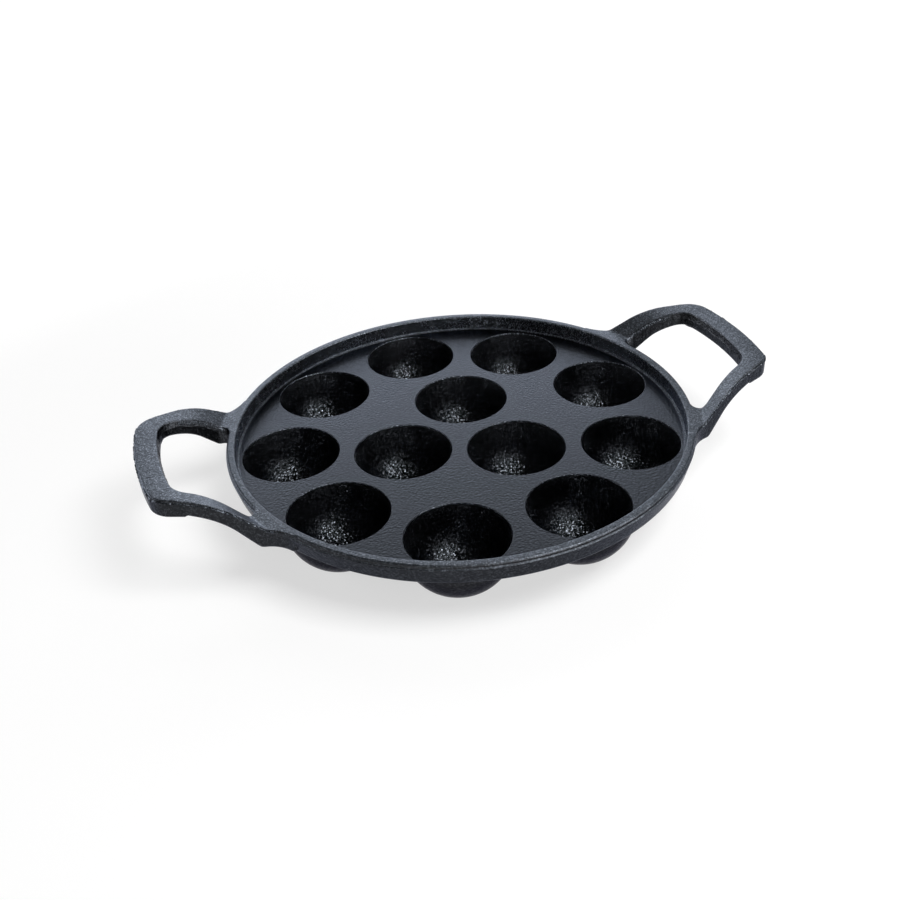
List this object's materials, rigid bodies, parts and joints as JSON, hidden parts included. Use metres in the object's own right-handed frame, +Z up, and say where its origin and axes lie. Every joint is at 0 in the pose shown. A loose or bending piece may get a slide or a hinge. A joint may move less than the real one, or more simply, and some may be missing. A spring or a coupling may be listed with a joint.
{
  "type": "paniyaram pan",
  "caption": "Round cast-iron pan with a rimmed plate, hemispherical cups hung beneath it and raised loop handles, cast in one piece, for cooking small round dumplings.",
  "frame": {"origin": "centre of the pan, on the plane that the undersides of its cups stand on", "axes": "+X through the middle of one loop handle, +Z up, out of the cups' mouths"},
  "size_m": [0.299, 0.2212, 0.0485],
  "materials": {
    "cast_iron": "matte as-cast black, fine sand-cast grain, coarser in the cups and on the handles"
  },
  "bodies": {
    "root": {"pan": "cast_iron"}
  },
  "joints": []
}
